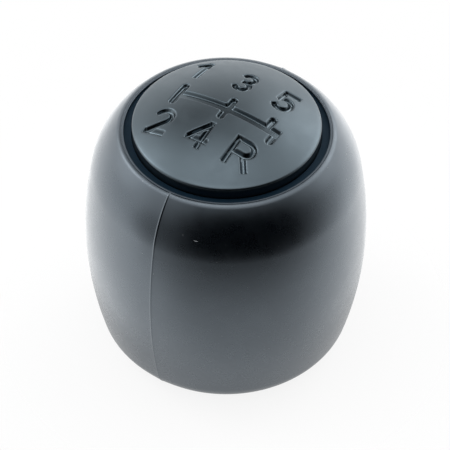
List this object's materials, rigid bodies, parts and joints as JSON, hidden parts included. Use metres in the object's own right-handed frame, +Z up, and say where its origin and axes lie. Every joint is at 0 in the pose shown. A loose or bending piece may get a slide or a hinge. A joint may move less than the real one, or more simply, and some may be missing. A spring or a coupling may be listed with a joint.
{
  "type": "gear shift knob",
  "caption": "Barrel-shaped push-on gear shift knob: soft moulded grip on a rigid core, domed snap-in cap engraved with the shift pattern, and a collet sleeve for the lever.",
  "frame": {"origin": "centre of the knob's base, on the plane of the grip's lowest face", "axes": "+Z up along the lever, +Y forward in the car (towards first, third and fifth gear), +X to the right as the pattern is read"},
  "size_m": [0.051, 0.0512, 0.0528],
  "materials": {
    "soft_grip": "satin, fine moulded skin",
    "core_plastic": "satin as moulded",
    "cap_plastic": "satin, very fine grain",
    "sleeve_plastic": "natural nylon, as moulded",
    "spring_steel": "bright spring wire"
  },
  "bodies": {
    "root": {"grip": "soft_grip", "core": "core_plastic", "shift_cap": "cap_plastic", "lever_sleeve": "sleeve_plastic", "retaining_clip": "spring_steel"}
  },
  "joints": []
}
